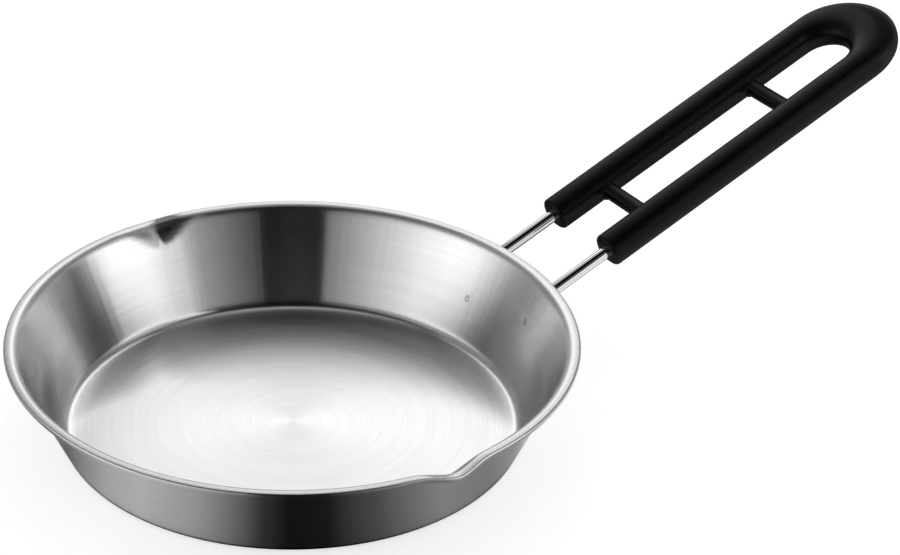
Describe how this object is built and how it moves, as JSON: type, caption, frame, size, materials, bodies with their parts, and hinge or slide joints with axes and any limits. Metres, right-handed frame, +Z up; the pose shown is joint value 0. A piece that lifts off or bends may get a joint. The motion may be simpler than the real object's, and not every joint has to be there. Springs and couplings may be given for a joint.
{
  "type": "egg pan",
  "caption": "Shallow round stainless steel egg pan with pouring lips, and a sloping wire handle in a black moulded loop grip that hangs on a hook.",
  "frame": {"origin": "middle of the base's flat underside, on the bowl's axis", "axes": "+Z up along the bowl's axis, +X along the handle from the bowl to the end of the grip, pouring lips at +Y and -Y"},
  "size_m": [0.3271, 0.1842, 0.0876],
  "materials": {
    "bowl_steel": "stainless steel, brushed round the bowl's axis",
    "wire_steel": "polished stainless steel",
    "grip_resin": "black heat-resistant resin, satin"
  },
  "bodies": {
    "root": {"pan_bowl": "bowl_steel", "handle_wire": "wire_steel", "grip": "grip_resin"}
  },
  "joints": []
}
